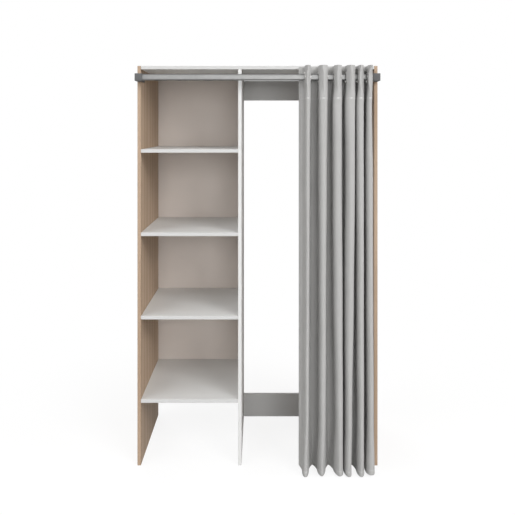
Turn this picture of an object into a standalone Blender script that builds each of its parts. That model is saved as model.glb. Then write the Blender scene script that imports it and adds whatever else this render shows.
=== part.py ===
"""A free-standing wardrobe with an open shelf bay, a hanging bay and an eyelet curtain on a front rail."""

import math

import bmesh
import bpy
from mathutils import Vector

# Carcass boards
wardrobe_width = 1.120
wardrobe_height = 1.864
panel_depth = 0.497
board_thickness = 0.016
board_edge_bevel = 0.0006
shelf_bay_width = 0.4535
floor_space_height = 0.292
shelf_count = 4
back_rail_height = 0.122
back_panel_thickness = 0.003
back_panel_margin = 0.001
joint_gap = 0.0003
cut_overrun = 0.002

# Connecting screws that hold the boards to the side panels
connector_head_radius = 0.005
connector_head_depth = 0.0016
connector_neck_radius = 0.0035
connector_neck_length = 0.012
connector_thread_radius = 0.0025
connector_length = 0.048
connector_setback = 0.055
connector_sink = 0.0004
connector_steps = 8

# Curtain rail
rail_height = 0.030
rail_depth = 0.015
rail_wall = 0.0012
rail_drop = 0.0575
rail_stand_off = 0.050
rail_insertion = 0.016
rail_segments = 24

# Curtain rail brackets
bracket_width = 0.033
bracket_height = 0.034
bracket_nose = 0.017
bracket_bevel = 0.0012
leg_thickness = 0.0055
leg_length = 0.070
leg_screw_places = (0.022, 0.054)
bracket_screw_head_radius = 0.004
bracket_screw_head_height = 0.0024
bracket_screw_radius = 0.00175
bracket_screw_grip = 0.0095
bracket_screw_steps = 10

# Clothes rail and its sockets
clothes_rail_diameter = 0.020
clothes_rail_wall = 0.001
clothes_rail_clearance = 0.0145
socket_wall = 0.0022
socket_base = 0.002
socket_depth = 0.010
spigot_radius = 0.0035
spigot_length = 0.010
socket_steps = 20

# Eyelets
eyelet_inner_radius = 0.020
eyelet_outer_radius = 0.029
eyelet_hub_radius = 0.0247
eyelet_thickness = 0.006
eyelet_rim_thickness = 0.0048
eyelet_steps = 20

# Curtain cloth
cloth_thickness = 0.002
cloth_top_drop = 0.006
floor_clearance = 0.008
fold_front_depth = 0.053
fold_back_depth = 0.045
curtain_stack_width = 0.303
last_eyelet_clearance = 0.0065
lead_flap_width = 0.0255
tail_flap_width = 0.003
header_straight = 0.031
drop_straight = 0.010
crest_flat_share = 0.25
turn_steps = 5

# Where the cloth crosses the rail line, as shares of the way from the first eyelet to the last
header_shares = (0, 0.074, 0.207, 0.329, 0.435, 0.540, 0.618, 0.741, 0.793, 0.868, 0.937, 1)
middle_shares = (0, 0.072, 0.191, 0.312, 0.439, 0.560, 0.597, 0.739, 0.777, 0.872, 0.907, 1.025)
hem_shares = (0, 0.064, 0.161, 0.312, 0.432, 0.556, 0.590, 0.702, 0.762, 0.872, 0.907, 1.035)

# Rows of the cloth, as shares of its height from the hem, and how far the header and the hem shape each
row_height_shares = (0, 0.48, 0.74, 0.86, 0.95, 1)
row_header_shares = (0, 0, 0, 0.45, 1, 1)
row_hem_shares = (1, 0, 0, 0, 0, 0)

# Places worked out from the sizes above
half_width = wardrobe_width / 2
panel_inner_x = half_width - board_thickness
partition_left_x = shelf_bay_width - panel_inner_x
partition_right_x = partition_left_x + board_thickness
curtain_reach = rail_stand_off + fold_front_depth + cloth_thickness / 2
front_y = (curtain_reach - panel_depth - back_panel_thickness) / 2
back_y = front_y + panel_depth
top_board_underside = wardrobe_height - board_thickness
shelf_pitch = (top_board_underside - floor_space_height) / shelf_count
rail_y = front_y - rail_stand_off
rail_z = wardrobe_height - rail_drop
bracket_inner_x = half_width - bracket_width
last_eyelet_x = bracket_inner_x - last_eyelet_clearance
bracket_front_y = rail_y - bracket_nose
leg_face_x = panel_inner_x - joint_gap - leg_thickness
clothes_rail_y = front_y + panel_depth / 2
clothes_rail_z = top_board_underside - clothes_rail_clearance - clothes_rail_diameter / 2
eyelet_z = rail_z + rail_height / 2 + joint_gap - eyelet_inner_radius
cloth_top = wardrobe_height - cloth_top_drop
eyelet_count = len(header_shares)

for leftover in list(bpy.data.objects):
    bpy.data.objects.remove(leftover, do_unlink=True)


def new_collection(name):
    collection = bpy.data.collections.new(name)
    bpy.context.scene.collection.children.link(collection)
    return collection


parts = new_collection("curtain_wardrobe")
cutters = new_collection("cutters")


def finish(name, colour, roughness, metallic=0.0):
    """A Principled material in one colour."""
    material = bpy.data.materials.new(name)
    material.use_nodes = True
    shader = material.node_tree.nodes["Principled BSDF"]
    shader.inputs["Base Color"].default_value = (*colour, 1)
    shader.inputs["Roughness"].default_value = roughness
    shader.inputs["Metallic"].default_value = metallic
    return material


oak = finish("oak_decor_board", (0.42, 0.32, 0.23), 0.55)
white = finish("white_board", (0.80, 0.80, 0.79), 0.50)
hardboard = finish("white_hardboard", (0.72, 0.71, 0.69), 0.60)
satin_metal = finish("satin_rail_metal", (0.62, 0.62, 0.61), 0.32, 1.0)
bracket_grey = finish("bracket_grey", (0.16, 0.16, 0.16), 0.45)
zinc = finish("zinc_screw", (0.66, 0.67, 0.68), 0.35, 1.0)
chromed = finish("chromed_tube", (0.78, 0.78, 0.78), 0.15, 1.0)
eyelet_metal = finish("eyelet_metal", (0.70, 0.70, 0.70), 0.25, 1.0)
grey_cloth = finish("grey_cloth", (0.56, 0.55, 0.54), 0.90)


def add_object(name, shape, location, material):
    """Turns a bmesh into an object of the wardrobe, or into a cutter when it has no material."""
    mesh = bpy.data.meshes.new(name)
    shape.to_mesh(mesh)
    shape.free()
    obj = bpy.data.objects.new(name, mesh)
    obj.location = location
    if material:
        mesh.materials.append(material)
        parts.objects.link(obj)
    else:
        cutters.objects.link(obj)
        obj.hide_render = True
        obj.display_type = "WIRE"
    return obj


def box(name, low, high, material=None):
    """A box between two opposite corners."""
    low = Vector(low)
    high = Vector(high)
    shape = bmesh.new()
    bmesh.ops.create_cube(shape, size=1)
    bmesh.ops.scale(shape, vec=high - low, verts=shape.verts)
    return add_object(name, shape, (low + high) / 2, material)


def bevel(obj, width):
    modifier = obj.modifiers.new("rounded_edges", "BEVEL")
    modifier.width = width
    modifier.segments = 1
    modifier.limit_method = "ANGLE"


def board(name, low, high, material):
    obj = box(name, low, high, material)
    bevel(obj, board_edge_bevel)
    return obj


def combine(obj, other, operation):
    modifier = obj.modifiers.new(other.name, "BOOLEAN")
    modifier.object = other
    modifier.operation = operation


def cut(obj, cutter):
    combine(obj, cutter, "DIFFERENCE")


def turned(name, profile, steps, location, axis, material=None):
    """A turned shape: (radius, height) points, with the shape's top towards axis."""
    shape = bmesh.new()
    points = [shape.verts.new((radius, 0, height)) for radius, height in profile]
    for start, end in zip(points, points[1:]):
        shape.edges.new((start, end))
    if profile[0][0] > 0:
        shape.edges.new((points[-1], points[0]))
    obj = add_object(name, shape, location, material)
    obj.rotation_mode = "QUATERNION"
    obj.rotation_quaternion = Vector((0, 0, 1)).rotation_difference(Vector(axis))
    screw = obj.modifiers.new("turned", "SCREW")
    screw.steps = steps
    screw.render_steps = steps
    screw.use_merge_vertices = True
    screw.merge_threshold = 0.00001
    screw.use_smooth_shade = False
    return obj


def oval_outline(height, depth, cap):
    """A flat oval in the plane across X, with half-round top and bottom."""
    shape = bmesh.new()
    bmesh.ops.create_circle(shape, cap_ends=cap, segments=rail_segments, radius=depth / 2)
    straight_half = (height - depth) / 2
    half_step = math.pi / rail_segments
    for point in shape.verts:
        angle = math.atan2(point.co.y, point.co.x) + half_step
        rise = math.sin(angle) * depth / 2
        point.co = (0, math.cos(angle) * depth / 2, rise + math.copysign(straight_half, rise))
    return shape


def oval_tube(name, height, depth, wall, start, length, material):
    """A tube of flat-oval or round section along +X from its start point."""
    shape = oval_outline(height, depth, False)
    sides = bmesh.ops.extrude_edge_only(shape, edges=shape.edges[:])["geom"]
    moved = [item for item in sides if isinstance(item, bmesh.types.BMVert)]
    bmesh.ops.translate(shape, vec=(length, 0, 0), verts=moved)
    bmesh.ops.recalc_face_normals(shape, faces=shape.faces)
    obj = add_object(name, shape, start, material)
    shell = obj.modifiers.new("tube_wall", "SOLIDIFY")
    shell.thickness = wall
    shell.offset = -1
    shell.use_even_offset = True
    return obj


def oval_cutter(name, height, depth, start, length):
    """A solid oval bar along X, for the socket that takes the rail's end."""
    shape = oval_outline(height, depth, True)
    ends = bmesh.ops.extrude_face_region(shape, geom=shape.faces[:])["geom"]
    moved = [item for item in ends if isinstance(item, bmesh.types.BMVert)]
    bmesh.ops.translate(shape, vec=(length, 0, 0), verts=moved)
    bmesh.ops.recalc_face_normals(shape, faces=shape.faces)
    return add_object(name, shape, start, None)


def connector_profile(spare):
    """A connecting screw's outline, larger by spare for the hole that it goes into."""
    top = cut_overrun if spare else 0
    cone_end = connector_head_depth + connector_head_radius - connector_neck_radius
    return [
        (0, top),
        (connector_head_radius + spare, top),
        (connector_head_radius + spare, -connector_head_depth),
        (connector_neck_radius + spare, -cone_end),
        (connector_neck_radius + spare, -connector_neck_length),
        (connector_thread_radius + spare, -connector_neck_length - spare),
        (connector_thread_radius + spare, -connector_length),
        (0, -connector_length - connector_thread_radius - spare),
    ]


def connect(name, panel, joined, side, y, z):
    """A connecting screw through a side panel into the end of the board that it holds."""
    place = (side * (half_width - connector_sink), y, z)
    outward = (side, 0, 0)
    turned(name, connector_profile(0), connector_steps, place, outward, zinc)
    hole = turned(name + "_hole", connector_profile(joint_gap), connector_steps, place, outward)
    cut(panel, hole)
    cut(joined, hole)


def make_panels():
    """The two side panels and the partition stand on the floor and carry everything else."""
    left = board(
        "left_side_panel", (-half_width, front_y, 0), (-panel_inner_x, back_y, wardrobe_height), oak
    )
    right = board(
        "right_side_panel", (panel_inner_x, front_y, 0), (half_width, back_y, wardrobe_height), oak
    )
    partition = board(
        "centre_partition",
        (partition_left_x, front_y, 0),
        (partition_right_x, back_y, top_board_underside - joint_gap),
        white,
    )
    return left, right, partition


def make_top_board(left, right):
    """The top board lies between the side panels, flush with their upper ends."""
    reach = panel_inner_x - joint_gap
    low = (-reach, front_y, top_board_underside)
    top = board("top_board", low, (reach, back_y, wardrobe_height), white)
    height = wardrobe_height - board_thickness / 2
    for place, y in (("front", front_y + connector_setback), ("back", back_y - connector_setback)):
        connect("top_screw_left_" + place, left, top, -1, y, height)
        connect("top_screw_right_" + place, right, top, 1, y, height)


def make_shelves(left):
    """Fixed shelves between the left side panel and the partition, numbered from the top."""
    for number in range(1, shelf_count + 1):
        underside = top_board_underside - number * shelf_pitch
        shelf = board(
            f"shelf_{number}",
            (joint_gap - panel_inner_x, front_y, underside),
            (partition_left_x - joint_gap, back_y - joint_gap, underside + board_thickness),
            white,
        )
        height = underside + board_thickness / 2
        for place, y in (("front", front_y + connector_setback), ("back", back_y - connector_setback)):
            connect(f"shelf_{number}_screw_{place}", left, shelf, -1, y, height)


def make_back_panel():
    """Thin hardboard fixed on the rear edges of the shelf bay, down to the lowest shelf."""
    low = (back_panel_margin - half_width, back_y + joint_gap, floor_space_height)
    high_x = partition_right_x - back_panel_margin
    high_z = wardrobe_height - back_panel_margin
    box("back_panel", low, (high_x, back_y + back_panel_thickness, high_z), hardboard)


def make_back_rails(right):
    """Two rails across the back of the hanging bay keep the frame square."""
    low_x = partition_right_x + joint_gap
    high_x = panel_inner_x - joint_gap
    low_y = back_y - board_thickness
    upper_top = top_board_underside - joint_gap
    for name, underside in (("top_back_rail", upper_top - back_rail_height), ("bottom_back_rail", 0)):
        top = underside + back_rail_height
        rail = board(name, (low_x, low_y, underside), (high_x, back_y, top), white)
        connect(name + "_screw", right, rail, 1, (low_y + back_y) / 2, (underside + top) / 2)


def make_curtain_rail():
    reach = bracket_inner_x + rail_insertion
    start = (-reach, rail_y, rail_z)
    oval_tube("curtain_rail", rail_height, rail_depth, rail_wall, start, 2 * reach, satin_metal)


def bracket_screw_profile(spare):
    """A pan-head screw's outline under and over the bracket's leg."""
    grip = leg_thickness + joint_gap + bracket_screw_grip
    shank = [
        (bracket_screw_radius + spare, 0),
        (bracket_screw_radius + spare, -grip),
        (0, -grip - bracket_screw_radius - spare),
    ]
    if spare:
        shank[0] = (bracket_screw_radius + spare, cut_overrun)
        return [(0, cut_overrun)] + shank
    shoulder = bracket_screw_head_radius / 2
    return [
        (0, bracket_screw_head_height),
        (shoulder, bracket_screw_head_height),
        (bracket_screw_head_radius, bracket_screw_head_height / 2),
        (bracket_screw_head_radius, joint_gap),
        (bracket_screw_radius, joint_gap),
    ] + shank[1:]


def sided(side, low, high):
    """The corners of a box given for the right-hand side, or the same box on the left."""
    if side > 0:
        return low, high
    return (-high[0], low[1], low[2]), (-low[0], high[1], high[2])


def make_bracket(name, panel, side):
    """A block on the panel's front edge holds the rail's end, and its leg is screwed to the inner face."""
    low_z = rail_z - bracket_height / 2
    high_z = rail_z + bracket_height / 2
    block = box(
        name,
        *sided(side, (bracket_inner_x, bracket_front_y, low_z), (half_width, front_y - joint_gap, high_z)),
        bracket_grey,
    )
    bevel(block, bracket_bevel)
    leg = box(
        name + "_leg",
        *sided(
            side,
            (leg_face_x, rail_y, low_z + bracket_bevel),
            (panel_inner_x - joint_gap, front_y + leg_length, high_z - bracket_bevel),
        ),
    )
    bevel(leg, bracket_bevel / 2)
    combine(block, leg, "UNION")
    mouth = bracket_inner_x - cut_overrun
    depth = rail_insertion + joint_gap + cut_overrun
    start = mouth if side > 0 else -mouth - depth
    height = rail_height + 2 * joint_gap
    thickness = rail_depth + 2 * joint_gap
    cut(block, oval_cutter(name + "_socket", height, thickness, (start, rail_y, rail_z), depth))
    for number, reach in enumerate(leg_screw_places, 1):
        place = (side * leg_face_x, front_y + reach, rail_z)
        inward = (-side, 0, 0)
        screw = f"{name}_screw_{number}"
        turned(screw, bracket_screw_profile(0), bracket_screw_steps, place, inward, zinc)
        hole = turned(screw + "_hole", bracket_screw_profile(joint_gap), bracket_screw_steps, place, inward)
        cut(block, hole)
        cut(panel, hole)


def socket_profile():
    bore = clothes_rail_diameter / 2 + joint_gap
    outer = bore + socket_wall
    top = socket_base + socket_depth
    return [
        (0, socket_base),
        (bore, socket_base),
        (bore, top),
        (outer, top),
        (outer, joint_gap),
        (spigot_radius, joint_gap),
        (spigot_radius, -spigot_length),
        (0, -spigot_length),
    ]


def spigot_hole_profile():
    radius = spigot_radius + joint_gap
    depth = spigot_length + joint_gap
    return [(0, cut_overrun), (radius, cut_overrun), (radius, -depth), (0, -depth)]


def make_clothes_rail(partition, right):
    """A round tube under the top board, held in two push-in sockets."""
    ends = (("left", partition, partition_right_x, 1), ("right", right, panel_inner_x, -1))
    for place, panel, x, inward in ends:
        name = "clothes_rail_socket_" + place
        spot = (x, clothes_rail_y, clothes_rail_z)
        turned(name, socket_profile(), socket_steps, spot, (inward, 0, 0), chromed)
        cut(panel, turned(name + "_hole", spigot_hole_profile(), socket_steps, spot, (inward, 0, 0)))
    setback = socket_base + joint_gap
    start = (partition_right_x + setback, clothes_rail_y, clothes_rail_z)
    length = panel_inner_x - partition_right_x - 2 * setback
    across = clothes_rail_diameter
    oval_tube("clothes_rail", across, across, clothes_rail_wall, start, length, chromed)


def crossing_x(number, row):
    """Where the cloth of one eyelet crosses the rail line in one row of the cloth."""
    header = header_shares[number]
    middle = middle_shares[number]
    hem = hem_shares[number]
    share = middle + (header - middle) * row_header_shares[row] + (hem - middle) * row_hem_shares[row]
    return last_eyelet_x - curtain_stack_width * (1 - share)


def turn_width(number, side, row):
    """How far the cloth turns aside from its crossing to the crest of the fold on that side."""
    if side < 0 and number == 0:
        return lead_flap_width
    if side > 0 and number == eyelet_count - 1:
        return tail_flap_width
    neighbour = crossing_x(number + side, row)
    return (abs(neighbour - crossing_x(number, row)) - joint_gap) / 2


def fold_point(number, column, row):
    """A point in the middle of the cloth, which comes forward at every other eyelet."""
    side = -1 if column <= turn_steps else 1
    steps_out = turn_steps - column if side < 0 else column - turn_steps - 1
    angle = math.pi / 2 * min(steps_out / (turn_steps - 1), 1)
    to_front = (side > 0) == (number % 2 == 0)
    depth = fold_front_depth if to_front else fold_back_depth
    straight = drop_straight + (header_straight - drop_straight) * row_header_shares[row]
    y = straight + (depth - straight) * math.sin(angle)
    aside = (1 - crest_flat_share) * (1 - math.cos(angle)) if steps_out < turn_steps else 1
    x = crossing_x(number, row) + side * turn_width(number, side, row) * aside
    z = floor_clearance + (cloth_top - floor_clearance) * row_height_shares[row]
    return Vector((x, rail_y - y if to_front else rail_y + y, z))


def eyelet_profile():
    """Two flanges on a hub, with the cloth held in the groove between them."""
    face = eyelet_thickness / 2
    rim = eyelet_rim_thickness / 2
    groove = cloth_thickness / 2 + joint_gap
    return [
        (eyelet_inner_radius, face),
        (eyelet_outer_radius, rim),
        (eyelet_outer_radius, groove),
        (eyelet_hub_radius, groove),
        (eyelet_hub_radius, -groove),
        (eyelet_outer_radius, -groove),
        (eyelet_outer_radius, -rim),
        (eyelet_inner_radius, -face),
    ]


def eyelet_hole_profile():
    radius = eyelet_hub_radius + joint_gap
    reach = eyelet_thickness
    return [(0, reach), (radius, reach), (radius, -reach), (0, -reach)]


def make_curtain():
    """One length of cloth on its eyelets, in one leaf for each eyelet, from fold crest to fold crest."""
    last_column = 2 * turn_steps + 1
    last_row = len(row_height_shares) - 1
    for number in range(eyelet_count):
        place = Vector((crossing_x(number, last_row), rail_y, eyelet_z))
        label = f"{number + 1:02d}"
        turned("eyelet_" + label, eyelet_profile(), eyelet_steps, place, (1, 0, 0), eyelet_metal)
        shape = bmesh.new()
        bmesh.ops.create_grid(shape, x_segments=last_column, y_segments=last_row, size=1)
        for point in shape.verts:
            column = round((point.co.x + 1) / 2 * last_column)
            row = round((point.co.y + 1) / 2 * last_row)
            point.co = fold_point(number, column, row) - place
        leaf = add_object("curtain_fold_" + label, shape, place, grey_cloth)
        shell = leaf.modifiers.new("cloth_thickness", "SOLIDIFY")
        shell.thickness = cloth_thickness
        shell.offset = 0
        shell.use_even_offset = True
        hole = "eyelet_hole_" + label
        cut(leaf, turned(hole, eyelet_hole_profile(), eyelet_steps, place, (1, 0, 0)))


left_panel, right_panel, middle_partition = make_panels()
make_top_board(left_panel, right_panel)
make_shelves(left_panel)
make_back_panel()
make_back_rails(right_panel)
make_curtain_rail()
make_bracket("left_rail_bracket", left_panel, -1)
make_bracket("right_rail_bracket", right_panel, 1)
make_clothes_rail(middle_partition, right_panel)
make_curtain()
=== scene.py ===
import math

import bmesh
import bpy
import numpy as np
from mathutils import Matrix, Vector


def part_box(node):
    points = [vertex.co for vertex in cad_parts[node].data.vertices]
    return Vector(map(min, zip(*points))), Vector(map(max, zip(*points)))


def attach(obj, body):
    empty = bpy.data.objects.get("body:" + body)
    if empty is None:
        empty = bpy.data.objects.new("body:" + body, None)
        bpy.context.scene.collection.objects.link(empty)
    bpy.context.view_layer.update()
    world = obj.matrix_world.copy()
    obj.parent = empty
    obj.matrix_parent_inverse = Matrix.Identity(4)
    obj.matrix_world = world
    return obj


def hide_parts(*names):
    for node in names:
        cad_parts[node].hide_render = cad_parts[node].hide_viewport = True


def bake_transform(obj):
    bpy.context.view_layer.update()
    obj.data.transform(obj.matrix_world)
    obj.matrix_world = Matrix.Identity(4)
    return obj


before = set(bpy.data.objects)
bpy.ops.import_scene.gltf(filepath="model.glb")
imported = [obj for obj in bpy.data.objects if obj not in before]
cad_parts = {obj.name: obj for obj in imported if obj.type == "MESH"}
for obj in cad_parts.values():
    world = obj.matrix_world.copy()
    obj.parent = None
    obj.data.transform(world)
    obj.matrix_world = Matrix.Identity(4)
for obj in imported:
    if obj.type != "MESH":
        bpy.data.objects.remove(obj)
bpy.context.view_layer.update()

# Camera
# The viewer stands square to the open front, in the middle of the width and some 0.3 m below the top board,
# so upright boards stay upright and the view is framed by shifting it down.
photo_size = 515
horizon_row = 129.2
pixels_per_metre_at_front = 214.4
viewing_distance = 2.81
eye_height = 1.5686
sensor_height = 36
sensor_width = 20.25

panel_low, panel_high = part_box("left_side_panel")
front_y = panel_low.y
camera_data = bpy.data.cameras.new("camera")
camera_data.sensor_fit = "VERTICAL"
camera_data.sensor_height = sensor_height
camera_data.sensor_width = sensor_width
camera_data.lens = sensor_height * pixels_per_metre_at_front * viewing_distance / photo_size
camera_data.shift_y = (horizon_row - photo_size / 2) / photo_size
camera = bpy.data.objects.new("camera", camera_data)
camera.location = (0, front_y - viewing_distance, eye_height)
camera.rotation_euler = (math.pi / 2, 0, 0)
bpy.context.scene.collection.objects.link(camera)
bpy.context.scene.camera = camera
bpy.context.scene.view_settings.view_transform = "Standard"


# Studio light
# The strongest softbox stands high to the right, with weaker ones round it, low in front and behind. The
# dark surround adds little, but looks white to the camera, in gloss and through clear things.
light_distance = 16
light_aim = (0, 0, 0.95)
surround_level = 0.04
softbox_size = 7.5
softbox_turn_rise_power = {
    "right_softbox": (38, 30, 1400),
    "side_softbox": (80, 35, 705),
    "left_softbox": (-40, 27, 650),
    "far_left_softbox": (-70, 35, 540),
    "front_softbox": (5, 7, 890),
    "back_softbox": (-150, 25, 891),
}


def set_sockets(tree, node, sockets):
    """Sets a node's inputs, each given by its name or number, to a value or to another node's output."""
    for socket, value in sockets.items():
        if isinstance(value, bpy.types.NodeSocket):
            tree.links.new(value, node.inputs[socket])
        else:
            node.inputs[socket].default_value = value


def add_node(tree, kind, sockets=None, **settings):
    """Adds a shader node, sets it and returns it."""
    node = tree.nodes.new("ShaderNode" + kind)
    for name, value in settings.items():
        setattr(node, name, value)
    set_sockets(tree, node, sockets or {})
    return node


def calculate(tree, operation, first, second=0.0, third=0.0, clamp=False):
    """One Math node, given by its operation; returns its output."""
    sockets = {0: first, 1: second, 2: third}
    return add_node(tree, "Math", sockets, operation=operation, use_clamp=clamp).outputs[0]


def map_range(tree, value, low, high, start=0.0, end=1.0, **settings):
    """One Map Range node, clamped; returns its output."""
    sockets = {"Value": value, "From Min": low, "From Max": high, "To Min": start, "To Max": end}
    return add_node(tree, "MapRange", sockets, **settings).outputs[0]


def seen_directly(tree):
    """1 for rays from the camera, in gloss and through clear things, and 0 for light on the object."""
    path = add_node(tree, "LightPath")
    either = calculate(tree, "MAXIMUM", path.outputs["Is Camera Ray"], path.outputs["Is Glossy Ray"])
    return calculate(tree, "MAXIMUM", either, path.outputs["Is Transmission Ray"])


for name, (turn, rise, power) in softbox_turn_rise_power.items():
    light = bpy.data.lights.new(name, "AREA")
    light.size = softbox_size
    light.energy = power
    turn, rise = math.radians(turn), math.radians(rise)
    outward = Vector((math.sin(turn) * math.cos(rise), -math.cos(turn) * math.cos(rise), math.sin(rise)))
    lamp = bpy.data.objects.new(name, light)
    lamp.location = Vector(light_aim) + outward * light_distance
    lamp.rotation_euler = (-outward).to_track_quat("-Z", "Y").to_euler()
    bpy.context.scene.collection.objects.link(lamp)

surround = bpy.data.worlds.new("surround")
surround.use_nodes = True
bpy.context.scene.world = surround
sky = surround.node_tree
sky.nodes.clear()
sky_level = map_range(sky, seen_directly(sky), 0, 1, surround_level, 1)
sky_light = add_node(sky, "Background", {"Color": (1, 1, 1, 1), "Strength": sky_level})
add_node(sky, "OutputWorld", {"Surface": sky_light.outputs[0]})


# Floor
# A pale, matt studio floor. The camera sees it nearly white with a pale shadow round the object's feet,
# which fades out into plain white further off; other rays meet an ordinary pale matt floor.
floor_size = 30
floor_colour = (0.37, 0.37, 0.37, 1)
shadow_start = 0.7
shadow_end = 1.8
floor_glow = 0.86
shadow_colour = (0.18, 0.18, 0.18, 1)


def add_primitive(kind, **settings):
    """Adds one of Blender's mesh primitives with nothing else selected, and returns its object."""
    bpy.ops.object.select_all(action="DESELECT")
    getattr(bpy.ops.mesh, f"primitive_{kind}_add")(**settings)
    return bpy.context.object


floor = add_primitive("plane", size=floor_size, location=(0, 0, 0))
floor.name = "floor"
floor_material = bpy.data.materials.new("studio_floor")
floor_material.use_nodes = True
tree = floor_material.node_tree
tree.nodes.clear()
spot = add_node(tree, "TexCoord").outputs["Object"]
distance = add_node(tree, "VectorMath", {0: spot}, operation="LENGTH").outputs["Value"]
far_off = map_range(tree, distance, shadow_start, shadow_end, interpolation_type="SMOOTHSTEP")
glow = add_node(tree, "Emission", {"Color": (1, 1, 1, 1), "Strength": floor_glow})
shade = add_node(tree, "BsdfDiffuse", {"Color": shadow_colour})
near_floor = add_node(tree, "AddShader", {0: glow.outputs[0], 1: shade.outputs[0]})
plain_white = add_node(tree, "Emission", {"Color": (1, 1, 1, 1), "Strength": 1.0})
shown_floor = add_node(
    tree, "MixShader", {0: far_off, 1: near_floor.outputs[0], 2: plain_white.outputs[0]}
)
lit_floor = add_node(tree, "BsdfDiffuse", {"Color": floor_colour})
floor_surface = add_node(
    tree, "MixShader", {0: seen_directly(tree), 1: lit_floor.outputs[0], 2: shown_floor.outputs[0]}
)
add_node(tree, "OutputMaterial", {"Surface": floor_surface.outputs[0]})
floor.data.materials.append(floor_material)


# White boards
# The partition, the top board, the four shelves and the two back rails are chipboard under white melamine,
# with a thin white band glued to the front edge. They are sawn square and butt against each other.
shelf_numbers = range(1, 5)
white_colour = (0.80, 0.80, 0.79, 1)
white_worn_colour = (0.66, 0.65, 0.63, 1)
white_roughness = (0.60, 0.72)
white_gloss = {"Specular IOR Level": 0.03}
# The front bands are toned darker than the faces as painted shade, more on the level boards than on the
# upright partition.
upright_band_painted_shade = 0.96
level_band_painted_shade = 0.82
arris_width = 0.0011
least_arris_width = 0.000385
arris_break_noise = (90, 4)
arris_break_spread = (0.35, 0.7)
arris_wear = 0.45
band_thickness = 0.0006
band_line_width = 0.00025
band_line_wear = 0.35
melamine_noise = (1400, 2)
handling_noise = (3.5, 3)
handling_spread = (0.35, 0.65)
cloudiness = 0.10
noise_spread = (0.3, 0.7)
bump_height = 0.0004


def mix_colour(tree, factor, first, second):
    """One colour Mix node; returns its output."""
    return add_node(tree, "Mix", {0: factor, 6: first, 7: second}, data_type="RGBA").outputs[2]


def noise(tree, vector, scale, detail, roughness=0.5, stretch=None):
    """A Noise texture, given by its pitch, detail and roughness and, if it is drawn out, by its stretch."""
    if stretch:
        vector = add_node(tree, "Mapping", {"Vector": vector, "Scale": stretch}).outputs[0]
    sockets = {"Vector": vector, "Scale": scale, "Detail": detail, "Roughness": roughness}
    return add_node(tree, "TexNoise", sockets).outputs["Fac"]


def vector_maths(tree, operation, first, second):
    """One Vector Math node; returns its output."""
    return add_node(tree, "VectorMath", {0: first, 1: second}, operation=operation).outputs[0]


def parts_of(tree, vector):
    """A vector's three parts."""
    return add_node(tree, "SeparateXYZ", {0: vector}).outputs


def times(tree, first, second):
    """One Math node that multiplies; returns its output."""
    return calculate(tree, "MULTIPLY", first, second)


def distance_from(tree, value, line):
    """How far a value is from another, either way."""
    return calculate(tree, "ABSOLUTE", calculate(tree, "SUBTRACT", value, line))


def new_group(name, inputs, outputs):
    """An empty node group with named sockets; returns it with its input and output nodes."""
    group = bpy.data.node_groups.new(name, "ShaderNodeTree")
    for direction, sockets in (("INPUT", inputs), ("OUTPUT", outputs)):
        for socket, kind in sockets.items():
            group.interface.new_socket(name=socket, in_out=direction, socket_type="NodeSocket" + kind)
    return group, group.nodes.new("NodeGroupInput"), group.nodes.new("NodeGroupOutput")


def use_group(tree, group, sockets):
    """Places a group in a tree and returns its outputs."""
    return add_node(tree, "Group", sockets, node_tree=group).outputs


def make_board_edges():
    """Marks a board's arrises, the band on its front edge and the glue line behind it, from its corners."""
    group, given, result = new_group(
        "board_edges",
        {"Position": "Vector", "Low Corner": "Vector", "High Corner": "Vector"},
        {"Arris": "Float", "Band": "Float", "Band Line": "Float"},
    )
    place = given.outputs["Position"]
    from_low = vector_maths(group, "SUBTRACT", place, given.outputs["Low Corner"])
    from_high = vector_maths(group, "SUBTRACT", given.outputs["High Corner"], place)
    nearest = parts_of(group, vector_maths(group, "MINIMUM", from_low, from_high))
    smaller = calculate(group, "MINIMUM", nearest[0], nearest[1])
    larger = calculate(group, "MAXIMUM", nearest[0], nearest[1])
    middle = calculate(group, "MAXIMUM", smaller, calculate(group, "MINIMUM", larger, nearest[2]))
    broken = noise(group, place, *arris_break_noise)
    reach = map_range(group, broken, *arris_break_spread, least_arris_width, arris_width)
    arris = calculate(group, "SUBTRACT", 1, calculate(group, "DIVIDE", middle, reach), clamp=True)
    depth = parts_of(group, from_low)[1]
    off_line = distance_from(group, depth, band_thickness)
    line = map_range(group, off_line, 0, band_line_width, 1, 0)
    band = map_range(group, depth, 0, band_thickness, 1, 0)
    set_sockets(group, result, {"Arris": arris, "Band": band, "Band Line": line})
    return group


board_edges = make_board_edges()


def board_marks(tree, place, node):
    """The edge marks of one board."""
    low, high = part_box(node)
    return use_group(tree, board_edges, {"Position": place, "Low Corner": low, "High Corner": high})


def new_material(name):
    """A material with a Principled shader; returns it with its tree and Object coordinates."""
    material = bpy.data.materials.new(name)
    material.use_nodes = True
    tree = material.node_tree
    return material, tree, add_node(tree, "TexCoord").outputs["Object"]


def give_surface(tree, colour, roughness, height, depth, others):
    """Sets a finish's colour, roughness, bumps and other sockets in its Principled shader."""
    bumps = add_node(tree, "Bump", {"Height": height, "Distance": depth, "Strength": 1.0}).outputs[0]
    sockets = {"Base Color": colour, "Roughness": roughness, "Normal": bumps}
    set_sockets(tree, tree.nodes["Principled BSDF"], {**sockets, **others})


def dress(node, material):
    """Gives a CAD node's object a material in place of the one it was packed with."""
    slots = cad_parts[node].data.materials
    slots.clear()
    slots.append(material)


def toned(colour, level):
    """A colour at another level."""
    return tuple(part * level for part in colour[:3]) + (1,)


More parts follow.
